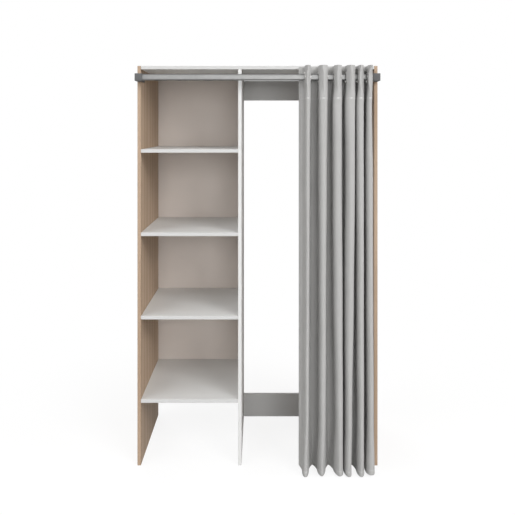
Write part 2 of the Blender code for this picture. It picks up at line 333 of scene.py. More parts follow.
def white_melamine(node, band_painted_shade):
    """Fine-textured white melamine, with painted shade on this board's front band and its arrises slightly
    greyed.
    """
    material, tree, place = new_material("white_melamine_" + node)
    marks = board_marks(tree, place, node)
    cloudy = noise(tree, place, *handling_noise)
    speck = noise(tree, place, *melamine_noise)
    worn = times(tree, marks["Arris"], arris_wear)
    marked = calculate(tree, "MAXIMUM", worn, times(tree, marks["Band Line"], band_line_wear))
    clouds = map_range(tree, cloudy, *noise_spread, 0, cloudiness)
    tinted = mix_colour(tree, clouds, white_colour, white_worn_colour)
    # Painted shade on the front band.
    band_with_painted_shade = mix_colour(tree, marks["Band"], tinted, toned(white_colour, band_painted_shade))
    shown = mix_colour(tree, marked, band_with_painted_shade, white_worn_colour)
    smudge = map_range(tree, cloudy, *handling_spread, *white_roughness)
    give_surface(tree, shown, smudge, speck, bump_height / 10, white_gloss)
    return material


white_boards = ["centre_partition", "top_board", "top_back_rail", "bottom_back_rail"]
white_boards += [f"shelf_{number}" for number in shelf_numbers]
for node in white_boards:
    band_painted_shade = upright_band_painted_shade if node == "centre_partition" else level_band_painted_shade
    dress(node, white_melamine(node, band_painted_shade))


# Oak side panels
# The two side panels are chipboard under a printed oak decor with its grain upright, edged with the same
# decor at the front. They stand on the floor and take the ends of every board.
oak_light = (0.540, 0.406, 0.300, 1)
oak_dark = (0.410, 0.296, 0.209, 1)
oak_pore = (0.290, 0.197, 0.130, 1)
oak_roughness = (0.52, 0.66)
oak_gloss = {"Specular IOR Level": 0.08}
figure_stretch = (1, 1, 0.045)
figure_waves = {"Scale": 4.5, "Distortion": 11, "Detail": 3, "Detail Scale": 1.3}
fine_figure_waves = {"Scale": 24, "Distortion": 10, "Detail": 2, "Detail Scale": 0.9}
figure_shares = {"wide": 0.30, "fine": 0.22, "fibres": 0.42, "blotch": 0.30}
figure_spread = (0.32, 0.90)
fibre_noise = (420, 3, 0.6, (1, 1, 0.022))
blotch_noise = (9, 2, 0.5, (1, 1, 0.25))
pore_noise = (1100, 2, 0.5, (1, 1, 0.030))
pore_spread = (0.60, 0.72)
pore_depth = 0.7
pore_darkness = 0.55
oak_wear = 0.4


def make_wood_grain():
    """Upright oak figure: wide wavy bands, fine fibres and short dark pores."""
    group, given, result = new_group(
        "wood_grain", {"Position": "Vector"}, {"Figure": "Float", "Pores": "Float", "Height": "Float"}
    )
    place = given.outputs["Position"]
    drawn_out = add_node(group, "Mapping", {"Vector": place, "Scale": figure_stretch}).outputs[0]
    wide, fine = [
        add_node(group, "TexWave", {"Vector": drawn_out, **waves}, bands_direction="Y").outputs["Fac"]
        for waves in (figure_waves, fine_figure_waves)
    ]
    fibres = noise(group, place, *fibre_noise)
    blotch = noise(group, place, *blotch_noise)
    figure = 0.0
    for name, pattern in (("wide", wide), ("fine", fine), ("fibres", fibres), ("blotch", blotch)):
        figure = calculate(group, "MULTIPLY_ADD", pattern, figure_shares[name], figure)
    ticks = noise(group, place, *pore_noise)
    pores = map_range(group, ticks, *pore_spread)
    height = calculate(group, "SUBTRACT", fibres, times(group, pores, pore_depth))
    spread = map_range(group, figure, *figure_spread)
    set_sockets(group, result, {"Figure": spread, "Pores": pores, "Height": height})
    return group


wood_grain = make_wood_grain()


def oak_decor(node):
    """Oak decor with its grain upright, a touch darker on this panel's arrises."""
    material, tree, place = new_material("oak_decor_" + node)
    grain = use_group(tree, wood_grain, {"Position": place})
    marks = board_marks(tree, place, node)
    figured = mix_colour(tree, grain["Figure"], oak_light, oak_dark)
    pored = mix_colour(tree, times(tree, grain["Pores"], pore_darkness), figured, oak_pore)
    marked = calculate(tree, "MAXIMUM", marks["Arris"], marks["Band Line"])
    shown = mix_colour(tree, times(tree, marked, oak_wear), pored, oak_pore)
    matt = map_range(tree, grain["Figure"], 0, 1, *oak_roughness)
    give_surface(tree, shown, matt, grain["Height"], bump_height / 6, oak_gloss)
    return material


for node in ("left_side_panel", "right_side_panel"):
    dress(node, oak_decor(node))


# Back panel
# A thin sheet of hardboard, painted white on the inside and raw brown on the rear and the edges, where it
# keeps the imprint of the press screen. It is nailed to the rear edges of the shelf bay. The white paint is
# drawn as a darker, warm grey: painted shade and painted warm bounce light from the oak panels.
# Darker and warmer than white: painted shade and painted bounce light from the oak.
shaded_paint_colour = (0.664, 0.601, 0.555, 1)
paint_cloud_level = 0.93
paint_cloud_noise = (3.5, 2)
raw_colour = (0.30, 0.185, 0.105, 1)
raw_dark_colour = (0.215, 0.125, 0.068, 1)
paint_roughness = 0.58
raw_roughness = 0.82
painted_facing = (-0.6, -0.4)
screen_pitch = 0.0016
screen_depth = 0.5
board_fibre_noise = (260, 4, 0.65)
roller_noise = (700, 2)
roller_depth = 0.3


def ripple(tree, place, pitch):
    """A sine wave along one way, from -1 to 1."""
    return calculate(tree, "SINE", times(tree, place, 2 * math.pi / pitch))


def painted_hardboard():
    """Rolled paint with painted shade where the board faces forwards, and screened brown fibres on its rear
    and edges.
    """
    material, tree, place = new_material("painted_hardboard")
    facing_back = parts_of(tree, add_node(tree, "NewGeometry").outputs["True Normal"])[1]
    raw = map_range(tree, facing_back, *painted_facing)
    across = parts_of(tree, place)
    screen = times(tree, ripple(tree, across[0], screen_pitch), ripple(tree, across[2], screen_pitch))
    fibres = noise(tree, place, *board_fibre_noise)
    brown = mix_colour(tree, map_range(tree, fibres, *noise_spread), raw_colour, raw_dark_colour)
    roller = noise(tree, place, *roller_noise)
    cloudy = map_range(tree, noise(tree, place, *paint_cloud_noise), *noise_spread)
    paint = mix_colour(tree, cloudy, shaded_paint_colour, toned(shaded_paint_colour, paint_cloud_level))
    rear_height = calculate(tree, "MULTIPLY_ADD", screen, screen_depth, fibres)
    front_height = times(tree, roller, roller_depth)
    height = add_node(tree, "Mix", {0: raw, 2: front_height, 3: rear_height}).outputs[0]
    matt = map_range(tree, raw, 0, 1, paint_roughness, raw_roughness)
    give_surface(tree, mix_colour(tree, raw, paint, brown), matt, height, bump_height / 4, {})
    return material


dress("back_panel", painted_hardboard())


# Connecting screws
# Zinc-plated furniture screws with a hexagon socket, driven through the side panels into the ends of the
# boards until the flat head lies just under the panel's face. An outline's points are radius and height.
head_outline = ((0.0046, 0), (0.0050, -0.0003), (0.0050, -0.0016))
shank_outline = ((0.0035, -0.0031), (0.0035, -0.0120), (0.0025, -0.0125), (0.0025, -0.0480))
tip_outline = ((0.0004, -0.0505),)
socket_radius = 0.0024
socket_sink = 0.0011
socket_sides = 6
screw_sides = 32
screw_sharp_angle = 30
metal_line_noise = (1500, 3, 0.6)
metal_line_share = 0.45
metal_cloud_noise = (45, 3)
metal_cloud_share = 0.55
merge_distance = 1e-6


def use_only(piece):
    """Leaves one object selected and active."""
    bpy.ops.object.select_all(action="DESELECT")
    piece.select_set(True)
    bpy.context.view_layer.objects.active = piece


def smooth(piece, degrees):
    """Smooth shading over all edges but the ones sharper than this."""
    use_only(piece)
    bpy.ops.object.shade_smooth_by_angle(angle=math.radians(degrees))


def edit_all():
    """Opens the active piece in edit mode, with all of it selected."""
    bpy.ops.object.mode_set(mode="EDIT")
    bpy.ops.mesh.select_all(action="SELECT")


def close_edit():
    """Leaves edit mode with all faces turned outwards."""
    bpy.ops.mesh.select_all(action="SELECT")
    bpy.ops.mesh.normals_make_consistent(inside=False)
    bpy.ops.object.mode_set(mode="OBJECT")


def ring_by_ring(name, rings, sides, closed=False):
    """A round piece along Z: a circle is extruded from ring to ring, each given as (radius, height)."""
    radius, height = rings[0]
    piece = add_primitive("circle", vertices=sides, radius=radius, location=(0, 0, height))
    piece.name = name
    bpy.ops.object.transform_apply(location=True)
    edit_all()
    if not closed:
        bpy.ops.mesh.edge_face_add()
    for next_radius, next_height in rings[1:]:
        bpy.ops.mesh.extrude_region_move(TRANSFORM_OT_translate={"value": (0, 0, next_height - height)})
        share = next_radius / radius
        bpy.ops.transform.resize(value=(share, share, 1), center_override=(0, 0, next_height))
        radius, height = next_radius, next_height
    bpy.ops.mesh.select_all(action="SELECT")
    bpy.ops.mesh.remove_doubles(threshold=merge_distance)
    close_edit()
    return piece


def modify(piece, kind, **settings):
    """Adds a modifier to a piece and applies it."""
    use_only(piece)
    modifier = piece.modifiers.new(kind.lower(), kind)
    for name, value in settings.items():
        setattr(modifier, name, value)
    bpy.ops.object.modifier_apply(modifier=modifier.name)


def combine(piece, other, operation="DIFFERENCE"):
    """A Boolean cut or union, applied, that uses the other piece up."""
    modify(piece, "BOOLEAN", object=other, operation=operation)
    bpy.data.objects.remove(other, do_unlink=True)


def set_place(piece, place, turn=(0, 0, 0)):
    """Turns and moves a piece and keeps its place in its mesh."""
    use_only(piece)
    piece.location = place
    piece.rotation_euler = turn
    bpy.ops.object.transform_apply(location=True, rotation=True, scale=True)


def middle_of(node):
    """The middle of a CAD node's box."""
    low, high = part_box(node)
    return (low + high) / 2


def copy_piece(piece, name):
    """A copy of a piece, with a mesh of its own."""
    made = piece.copy()
    made.data = piece.data.copy()
    made.name = name
    made.data.name = name
    bpy.context.scene.collection.objects.link(made)
    return made


def make_metal_finish():
    """Plated or drawn metal: fine lines along one way, cloudy dulling and a little height."""
    group, given, result = new_group(
        "metal_finish",
        {"Position": "Vector", "Line Stretch": "Vector", "Bright": "Color", "Dull": "Color"},
        {"Color": "Color", "Dulling": "Float", "Height": "Float"},
    )
    place = given.outputs["Position"]
    drawn = add_node(group, "Mapping", {"Vector": place, "Scale": given.outputs["Line Stretch"]}).outputs[0]
    lines = noise(group, drawn, *metal_line_noise)
    clouds = times(group, noise(group, place, *metal_cloud_noise), metal_cloud_share)
    dulling = calculate(group, "MULTIPLY_ADD", lines, metal_line_share, clouds)
    spread = map_range(group, dulling, *noise_spread)
    shown = mix_colour(group, spread, given.outputs["Bright"], given.outputs["Dull"])
    set_sockets(group, result, {"Color": shown, "Dulling": spread, "Height": lines})
    return group


metal_finish = make_metal_finish()


def metal(name, bright, dull, roughness, depth, stretch=(1, 1, 1), metallic=1.0):
    """A metal whose fine lines run the way that stretch draws them out, bare or under a thin coat."""
    material, tree, place = new_material(name)
    sockets = {"Position": place, "Line Stretch": stretch, "Bright": bright, "Dull": dull}
    surface = use_group(tree, metal_finish, sockets)
    matt = map_range(tree, surface["Dulling"], 0, 1, *roughness)
    give_surface(tree, surface["Color"], matt, surface["Height"], depth, {"Metallic": metallic})
    return material


zinc_plate = metal(
    "zinc_plate",
    bright=(0.62, 0.63, 0.64, 1),
    dull=(0.44, 0.45, 0.46, 1),
    roughness=(0.26, 0.46),
    depth=bump_height / 20,
)


def connecting_screw():
    """One connecting screw along Z, with its head's face at the origin."""
    screw = ring_by_ring("connecting_screw", head_outline + shank_outline + tip_outline, screw_sides)
    hexagon = {"vertices": socket_sides, "radius": socket_radius, "depth": 2 * socket_sink}
    combine(screw, add_primitive("cylinder", **hexagon))
    smooth(screw, screw_sharp_angle)
    screw.data.materials.append(zinc_plate)
    return screw


def drive_screws(model, nodes, suffix, outward, sink=0):
    """Copies a screw to each node's place, head outwards (1) or inwards (-1), and uses the model up."""
    for node in nodes:
        low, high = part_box(node)
        way = outward if low.x > 0 else -outward
        face_x = high.x if way > 0 else low.x
        screw = copy_piece(model, node + suffix)
        set_place(screw, (face_x - way * sink, *middle_of(node)[1:]), (0, way * math.pi / 2, 0))
        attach(screw, "carcass")
        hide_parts(node)
    bpy.data.objects.remove(model, do_unlink=True)


screw_nodes = [f"top_screw_{side}_{place}" for side in ("left", "right") for place in ("front", "back")]
screw_nodes += [f"shelf_{number}_screw_{place}" for number in shelf_numbers for place in ("front", "back")]
screw_nodes += ["top_back_rail_screw", "bottom_back_rail_screw"]
drive_screws(connecting_screw(), screw_nodes, "_with_socket", 1)


# Curtain rail
# A flat-oval steel tube, rolled and seam-welded, with a satin grey coat. It runs across the whole front on
# two brackets and stands clear of the boards, so the curtain's eyelets can pass.
rail_wall = 0.0012
rail_sides = 64
tube_sharp_angle = 40

rail_low, rail_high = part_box("curtain_rail")
rail_centre = middle_of("curtain_rail")
rail_depth = rail_high.y - rail_low.y
rail_height = rail_high.z - rail_low.z


def oval_bar(name, height, depth, start, length, capped):
    """A circle across X, parted into a flat oval, and extruded along X."""
    piece = add_primitive("circle", vertices=rail_sides, radius=depth / 2, rotation=(0, math.pi / 2, 0))
    piece.name = name
    bpy.ops.object.transform_apply(rotation=True)
    bpy.ops.object.mode_set(mode="EDIT")
    bpy.ops.mesh.select_all(action="DESELECT")
    shape = bmesh.from_edit_mesh(piece.data)
    for point in shape.verts:
        point.select = point.co.z > 0
    shape.select_flush(True)
    bmesh.update_edit_mesh(piece.data)
    bpy.ops.transform.translate(value=(0, 0, height - depth))
    bpy.ops.mesh.select_all(action="SELECT")
    if capped:
        bpy.ops.mesh.edge_face_add()
    bpy.ops.transform.translate(value=(start[0], start[1], start[2] - (height - depth) / 2))
    bpy.ops.mesh.extrude_region_move(TRANSFORM_OT_translate={"value": (length, 0, 0)})
    close_edit()
    return piece


def give_wall(piece, wall):
    """Thickens a shell inwards."""
    modify(piece, "SOLIDIFY", thickness=wall, offset=-1, use_even_offset=True)
    smooth(piece, tube_sharp_angle)


rail_start = (rail_low.x, rail_centre.y, rail_centre.z)
curtain_rail = oval_bar(
    "curtain_rail_tube", rail_height, rail_depth, rail_start, rail_high.x - rail_low.x, False
)
give_wall(curtain_rail, rail_wall)
rail_coat = metal(
    "satin_rail",
    bright=(0.195, 0.195, 0.193, 1),
    dull=(0.170, 0.170, 0.168, 1),
    roughness=(0.38, 0.46),
    depth=bump_height / 30,
    stretch=(0.012, 1, 1),
    metallic=0.9,
)
curtain_rail.data.materials.append(rail_coat)
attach(curtain_rail, "carcass")
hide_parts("curtain_rail")


# Rail brackets
# Dark grey moulded plastic: a block with an oval socket for the rail's end, on the panel's front edge, and a
# thin leg along the panel's inner face that takes two pan-head screws.
leg_thickness = 0.0055
leg_margin = 0.00168
socket_clearance = 0.0003
block_round = 0.0014
block_round_steps = 3
leg_round = 0.0009
leg_round_steps = 2
bracket_sharp_angle = 35
leg_hole_radius = 0.0021
leg_hole_length = 0.02
leg_hole_sides = 24
bracket_gloss = {"Specular IOR Level": 0.15}
spark_noise = (1900, 3, 0.6)
rubbed_noise = (60, 2)
rubbed_spread = (0.35, 0.75)
rubbed_share = 0.5


def moulded_plastic(name, colour, pale_colour, roughness):
    """Spark-eroded plastic: a fine even grain, paler where it is rubbed."""
    material, tree, place = new_material(name)
    spark = noise(tree, place, *spark_noise)
    rubbed = map_range(tree, noise(tree, place, *rubbed_noise), *rubbed_spread, 0, rubbed_share)
    shown = mix_colour(tree, rubbed, colour, pale_colour)
    matt = map_range(tree, spark, *noise_spread, *roughness)
    give_surface(tree, shown, matt, spark, bump_height / 6, bracket_gloss)
    return material


def cuboid(name, low, high, width, segments):
    """A cube primitive between two corners, with its edges bevelled."""
    centre = (Vector(low) + Vector(high)) / 2
    piece = add_primitive("cube", size=1, location=centre, scale=Vector(high) - Vector(low))
    piece.name = name
    bpy.ops.object.transform_apply(location=True, rotation=True, scale=True)
    edit_all()
    bpy.ops.mesh.bevel(offset=width, segments=segments, affect="EDGES")
    bpy.ops.object.mode_set(mode="OBJECT")
    return piece


bracket_plastic = moulded_plastic(
    "bracket_plastic",
    colour=(0.124, 0.124, 0.125, 1),
    pale_colour=(0.150, 0.150, 0.152, 1),
    roughness=(0.50, 0.66),
)
for side_name, side in (("left", -1), ("right", 1)):
    node = side_name + "_rail_bracket"
    low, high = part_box(node)
    panel_x = panel_high.x if side < 0 else -panel_high.x
    block_low = (low.x, low.y, low.z)
    block_high = (high.x, front_y - socket_clearance, high.z)
    bracket = cuboid(node + "_moulding", block_low, block_high, block_round, block_round_steps)
    leg_outer = panel_x - side * socket_clearance
    leg_inner = leg_outer - side * leg_thickness
    leg_low = (min(leg_outer, leg_inner), rail_centre.y, low.z + leg_margin)
    leg_high = (max(leg_outer, leg_inner), high.y, high.z - leg_margin)
    leg = cuboid("bracket_leg", leg_low, leg_high, leg_round, leg_round_steps)
    combine(bracket, leg, "UNION")
    mouth_x = (low.x if side > 0 else high.x) - side * block_round
    rail_end_x = (rail_high.x if side > 0 else rail_low.x) + side * socket_clearance
    mouth = oval_bar(
        "rail_socket_cutter",
        rail_height + 2 * socket_clearance,
        rail_depth + 2 * socket_clearance,
        (min(mouth_x, rail_end_x), rail_centre.y, rail_centre.z),
        abs(rail_end_x - mouth_x),
        True,
    )
    combine(bracket, mouth)
    for number in (1, 2):
        place = ((leg_outer + leg_inner) / 2, *middle_of(f"{node}_screw_{number}")[1:])
        hole = {"vertices": leg_hole_sides, "radius": leg_hole_radius, "depth": leg_hole_length}
        combine(bracket, add_primitive("cylinder", **hole, location=place, rotation=(0, math.pi / 2, 0)))
    smooth(bracket, bracket_sharp_angle)
    bracket.data.materials.append(bracket_plastic)
    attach(bracket, "carcass")
    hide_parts(node)


# Bracket screws
# Small zinc-plated pan-head screws with a cross recess, two in each leg, that go through the plastic into
# the side panel.
pan_radius = 0.004
pan_height = 0.0024
pan_flat_share = 0.35
pan_rim_share = 0.25
pan_shank_radius = 0.00175
pan_shank_length = 0.0153
recess_reach = 0.0021
recess_width = 0.0009
recess_depth = 0.0013
arc_steps = 6


def pan_screw():
    """One pan-head screw along Z, with the underside of its head at the origin."""
    rings = [(pan_shank_radius / 4, -pan_shank_length - pan_shank_radius)]
    rings += [(pan_shank_radius, -pan_shank_length), (pan_shank_radius, 0), (pan_radius, 0)]
    for step in range(arc_steps + 1):
        angle = math.pi / 2 * step / arc_steps
        dome = pan_radius * (pan_flat_share + (1 - pan_flat_share) * math.cos(angle))
        rings.append((dome, pan_height * (pan_rim_share + (1 - pan_rim_share) * math.sin(angle))))
    screw = ring_by_ring("pan_screw", rings, screw_sides)
    for turn in (0, math.pi / 2):
        bar = {"size": 1, "scale": (2 * recess_reach, recess_width, 2 * recess_depth)}
        combine(screw, add_primitive("cube", **bar, location=(0, 0, pan_height), rotation=(0, 0, turn)))
    smooth(screw, screw_sharp_angle)
    screw.data.materials.append(zinc_plate)
    return screw


screw_nodes = [f"{side}_rail_bracket_screw_{number}" for side in ("left", "right") for number in (1, 2)]
drive_screws(pan_screw(), screw_nodes, "_with_recess", -1, pan_height - socket_clearance)


# Clothes rail
# A round chromed steel tube close under the top board of the hanging bay, for garment hangers.
# Its ends lie in two chromed sockets pushed into the partition and the side panel.
tube_wall = 0.001
tube_sides = 48

chrome = metal(
    "chromed_steel",
    bright=(0.80, 0.80, 0.81, 1),
    dull=(0.68, 0.68, 0.69, 1),
    roughness=(0.09, 0.20),
    depth=bump_height / 60,
    stretch=(0.03, 1, 1),
)
low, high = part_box("clothes_rail")
tube_radius = (high.y - low.y) / 2
tube_centre = middle_of("clothes_rail")
clothes_rail = add_primitive(
    "cylinder",
    vertices=tube_sides,
    radius=tube_radius,
    depth=high.x - low.x,
    end_fill_type="NOTHING",
    location=tube_centre,
    rotation=(0, math.pi / 2, 0),
)
clothes_rail.name = "clothes_rail_tube"
bpy.ops.object.transform_apply(location=True, rotation=True, scale=True)
give_wall(clothes_rail, tube_wall)
clothes_rail.data.materials.append(chrome)
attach(clothes_rail, "carcass")
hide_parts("clothes_rail")

socket_wall = 0.0022
socket_base = 0.002
socket_depth = 0.012
spigot_radius = 0.0035
spigot_tip_radius = 0.0028
spigot_length = 0.010
spigot_chamfer = 0.001
flange_spread = 0.0004
lip_round = 0.001
lip_sharp_angle = 50
outer_lip_shares = ((0, 0.8), (-0.4, 0.2), (-1, 0))
inner_lip_shares = ((0.6, 0), (0.2, 0.2), (0, 0.7))


def rail_socket(name):
    """A cup along Z with a rolled lip, and its spigot below the origin."""
    bore = tube_radius + socket_clearance
    outer = bore + socket_wall
    rings = [
        (spigot_tip_radius, -spigot_length),
        (spigot_radius, spigot_chamfer - spigot_length),
        (spigot_radius, socket_clearance),
        (outer - flange_spread, socket_clearance),
        (outer, socket_clearance + flange_spread),
    ]
    for edge, shares in ((outer, outer_lip_shares), (bore, inner_lip_shares)):
        rings += [(edge + lip_round * out, socket_depth - lip_round * down) for out, down in shares]
    socket = ring_by_ring(name, rings + [(bore, socket_base)], tube_sides)
    smooth(socket, lip_sharp_angle)
    socket.data.materials.append(chrome)
    return socket


for side_name, inward in (("left", 1), ("right", -1)):
    node = "clothes_rail_socket_" + side_name
    low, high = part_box(node)
    face_x = low.x + spigot_length if inward > 0 else high.x - spigot_length
    socket = rail_socket(node + "_cup")
    set_place(socket, (face_x, tube_centre.y, tube_centre.z), (0, inward * math.pi / 2, 0))
    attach(socket, "carcass")
    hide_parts(node)


# Eyelets
# Twelve satin nickel curtain eyelets of 40 mm bore. Each is two pressed rings, closed on either face of the
# header, and hangs on the rail by the top of its bore.
eyelet_count = 12
bore_radius = 0.020
bore_half = 0.0030
bore_round = 0.0018
dome_power = 1.6
rim_radius = 0.029
rim_half = 0.0022
rim_round = 0.0012
rim_return = 0.0006
groove_half = 0.00105
groove_step = 0.0002
hub_radius = 0.0247
eyelet_sides = 72
eyelet_sharp_angle = 40


def eyelet_rings():
    """The closed outline of both rings: a rolled bore, a low dome, a turned-in rim and the cloth's groove."""
    quarter = [(math.sin(turn), math.cos(turn)) for turn in np.linspace(0, math.pi / 2, arc_steps + 1)]
    dome_start = bore_radius + bore_round
    dome_width = rim_radius - rim_round - dome_start
    rim_edge = groove_half + groove_step
    face = [(dome_start - bore_round * cos, bore_half - bore_round * (1 - sin)) for sin, cos in quarter]
    for step in range(1, arc_steps + 1):
        share = step / arc_steps
        height = bore_half - (bore_half - rim_half) * share ** dome_power
        face.append((dome_start + dome_width * share, height))
    for sin, cos in quarter[1:]:
        face.append((rim_radius - rim_round * (1 - sin), rim_edge + (rim_half - rim_edge) * cos))
    face += [(rim_radius - rim_return, groove_half), (hub_radius, groove_half)]
    mirrored = [(radius, -height) for radius, height in reversed(face)]
    return face + mirrored + face[:1]


nickel = metal(
    "satin_nickel",
    bright=(0.84, 0.835, 0.82, 1),
    dull=(0.70, 0.695, 0.68, 1),
    roughness=(0.20, 0.34),
    depth=bump_height / 40,
)
eyelet_model = ring_by_ring("eyelet", eyelet_rings(), eyelet_sides, closed=True)
smooth(eyelet_model, eyelet_sharp_angle)
eyelet_model.data.materials.append(nickel)


def body_name(number):
    """The body that carries the eyelet with this number, counted from the leading edge."""
    return "carcass" if number == eyelet_count else f"curtain_{number:02d}"


eyelet_centres = []
for number in range(1, eyelet_count + 1):
    node = f"eyelet_{number:02d}"
    eyelet_centres.append(middle_of(node))
    eyelet = copy_piece(eyelet_model, node + "_rings")
    set_place(eyelet, eyelet_centres[-1], (0, math.pi / 2, 0))
    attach(eyelet, body_name(number))
    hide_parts(node)
bpy.data.objects.remove(eyelet_model, do_unlink=True)


# Curtain
# One width of plain-woven grey cotton, turned and stitched at the sides, with a deep double header that the
# eyelets are pressed into and a narrow hem. It snakes from eyelet to eyelet, forward at every other gap.
cloth_thickness = 0.0008
doubled_thickness = 0.0016
header_depth = 0.152
hem_depth = 0.024
side_hem_width = 0.018
front_depth = 0.053
back_depth = 0.045
lead_flap_width = 0.0255
tail_flap_width = 0.003
header_straight = 0.031
drop_straight = 0.010
hem_straight = 0.002
straight_columns = 6
turn_columns = 26
flap_columns = 14
hem_rows = 16
drop_rows = 150
header_rows = 90
hem_row_margin = 0.006
header_row_margin = 0.010

cloth_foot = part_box("curtain_fold_02")[0].z
cloth_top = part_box("curtain_fold_02")[1].z
cloth_height = cloth_top - cloth_foot
header_line = cloth_top - header_depth
hem_line = cloth_foot + hem_depth
rail_y = rail_centre.y
eyelet_z = eyelet_centres[0].z

# Rows lie close together in the hem and the header, and further apart down the drop.
row_levels = (cloth_foot, hem_line + hem_row_margin, header_line - header_row_margin)
heights = np.concatenate([
    np.linspace(row_levels[0], row_levels[1], hem_rows)[:-1],
    np.linspace(row_levels[1], row_levels[2], drop_rows)[:-1],
    np.linspace(row_levels[2], cloth_top, header_rows),
])[:, None]
numbers = np.arange(eyelet_count)[None, :]


def ease(share):
    """A smooth step from 0 to 1."""
    share = np.clip(share, 0, 1)
    return share * share * (3 - 2 * share)


def climb(start, length):
    """A smooth step up the cloth's rows, from 0 at a height to 1 a length above it."""
    return ease((heights - start) / length)


def bell(distance, width):
    """A smooth ridge, 1 in its middle."""
    return np.exp(-(distance / width) ** 2)


# Where the cloth crosses the rail line, as shares of the stack from the first eyelet to the last, at five
# levels from the hem up. Above the last level the crossings ease over to the eyelets themselves.
hem_shares = (-0.046, 0.056, 0.184, 0.305, 0.431, 0.566, 0.577, 0.688, 0.769, 0.888, 0.909, 1.035)
foot_shares = (-0.024, 0.052, 0.204, 0.306, 0.455, 0.561, 0.598, 0.693, 0.779, 0.873, 0.922, 1.024)
middle_shares = (-0.012, 0.061, 0.211, 0.312, 0.428, 0.555, 0.588, 0.721, 0.769, 0.873, 0.914, 1.013)
upper_shares = (-0.012, 0.066, 0.201, 0.322, 0.414, 0.545, 0.604, 0.739, 0.761, 0.872, 0.901, 1.010)
seam_shares = (-0.003, 0.072, 0.203, 0.327, 0.409, 0.541, 0.593, 0.738, 0.760, 0.867, 0.912, 0.989)
level_shares = (0.005, 0.13, 0.43, 0.72, 0.906)
header_zone_shares = (0.745, 0.965)
hem_zone_shares = (0.0, 0.17)
sway_waves = ((0.6, 0.83, 1.0), (0.4, 0.37, 1.7))
sway_step = 2.4
sway_width = 0.0006
sway_seed = 0.4
depth_sway_share = 0.022
depth_sway_seed = 2.1
lean_width = 0.0010
lean_seed = 5.3


def climb_zone(zone_shares):
    """A smooth step between two heights that are given as shares of the cloth's height."""
    start, end = zone_shares
    return climb(cloth_foot + cloth_height * start, cloth_height * (end - start))


def slow_wave(number, seed):
    """An uneven wave up the cloth, of its own for each fold, from -1 to 1."""
    phase = sway_step * number + seed
    return sum(
        share * np.sin(2 * math.pi * heights / length + phase_share * phase)
        for share, length, phase_share in sway_waves
    )


def crossing_lines():
    """Where the cloth crosses the rail line, rows by eyelets, from the hem up to the eyelets."""
    header = np.array([centre.x for centre in eyelet_centres])
    stack = header[-1] - header[0]
    shares = (hem_shares, foot_shares, middle_shares, upper_shares, seam_shares)
    tables = [header[0] + stack * np.array(line) for line in shares] + [header]
    levels = [cloth_foot + cloth_height * share for share in level_shares] + [eyelet_z - rim_radius]
    lines = tables[0] + 0 * heights
    for low, high, below, above in zip(levels, levels[1:], tables, tables[1:]):
        lines = lines + (above - below) * climb(low, high - low)
    return lines + sway_width * (1 - header_weight) * slow_wave(numbers, sway_seed)


header_weight = climb_zone(header_zone_shares)
hem_weight = 1 - climb_zone(hem_zone_shares)
crossings = crossing_lines()
straight = drop_straight + (header_straight - drop_straight) * header_weight
straight = straight + (hem_straight - drop_straight) * hem_weight

# How full each front fold turns: 2 is an ellipse, more is fuller and 1 runs straight. A pair of values is
# for its left and right half. Back folds and the loose ends share one value each.
fullness = 2.35
hem_back_fullness = 1.25
flap_fullness = 1.5
hem_flap_fullness = 1.0
rail_fullness = (1.15, 1.6)
drop_fullness = ((2.35, 2.35), (2.35, 2.35), (2.35, 2.6), (1.85, 3.3), (2.05, 2.9), (2.25, 2.35))
hem_fullness = ((3.0, 1.5), (1.8, 1.3), (1.5, 2.3), (1.75, 3.0), (1.8, 1.8), (2.1, 2.9))
rail_leans = (-0.006, 0, -0.0055, -0.001, -0.009, -0.0105)
rail_pinches = (0, 0.0015, 0.0010, 0.0005, 0, 0.0020)
top_leans = (0, -0.004, -0.0035, -0.003, -0.004, 0.002)
top_bulge = 0.0022
drop_bulge = 0.0006
rail_zone_start = 0.008
rail_zone_length = 0.045
eyelet_zone_half = 0.012
top_zone_length = 0.040
drop_zone_length = 0.090

rail_zone = climb(header_line + rail_zone_start, rail_zone_length)
above_eyelet = climb(eyelet_z + eyelet_zone_half, top_zone_length)
below_header = 1 - climb(eyelet_z - eyelet_zone_half - drop_zone_length, drop_zone_length)
at_rail = climb(header_line, eyelet_z - eyelet_zone_half - header_line) * (1 - above_eyelet)


def turned_share(angles, left, right):
    """The turn of a fold as shares across and out, from its fullness left and right."""
    power = 2 / np.where(np.cos(angles)[None, :] > 0, left, right)
    across = np.sign(np.cos(angles)) * np.abs(np.cos(angles)) ** power
    return across, np.abs(np.sin(angles)) ** power


def blend_fullness(at_header, down_drop, at_hem):
    """A fold's fullness row by row, of its own in the header, down the drop and at the hem."""
    return down_drop + (at_header - down_drop) * rail_zone + (at_hem - down_drop) * hem_weight


def fold_columns(start, end, depth, number):
    """One fold from crossing to crossing, the last column left out: x, and the distance out from the rail."""
    middle = (start + end) / 2
    half = (end - start) / 2
    run = np.linspace(0, 1, straight_columns, endpoint=False)[None, :]
    sway = depth_sway_share * (1 + slow_wave(number, depth_sway_seed))
    deep = depth * (1 - sway * (1 - header_weight))
    bulge = top_bulge * above_eyelet + drop_bulge * below_header
    lean = lean_width * slow_wave(number, lean_seed) * (1 - header_weight)
    left = right = blend_fullness(fullness, fullness, hem_back_fullness)
    if number % 2 == 0:
        fold = number // 2
        left, right = map(blend_fullness, rail_fullness, drop_fullness[fold], hem_fullness[fold])
        bulge = bulge - rail_pinches[fold] * at_rail
        lean = lean + rail_leans[fold] * at_rail + top_leans[fold] * above_eyelet
    across, out = turned_share(np.linspace(0, math.pi, turn_columns + 1), left, right)
    turn_out = straight + (deep - straight) * out
    turn_x = middle - across * (half + bulge * out) + lean * out
    x = np.concatenate([start + 0 * run, turn_x[:, :-1], end + 0 * run], axis=1)
    return x, np.concatenate([straight * run, turn_out[:, :-1], straight * (1 - run)], axis=1)


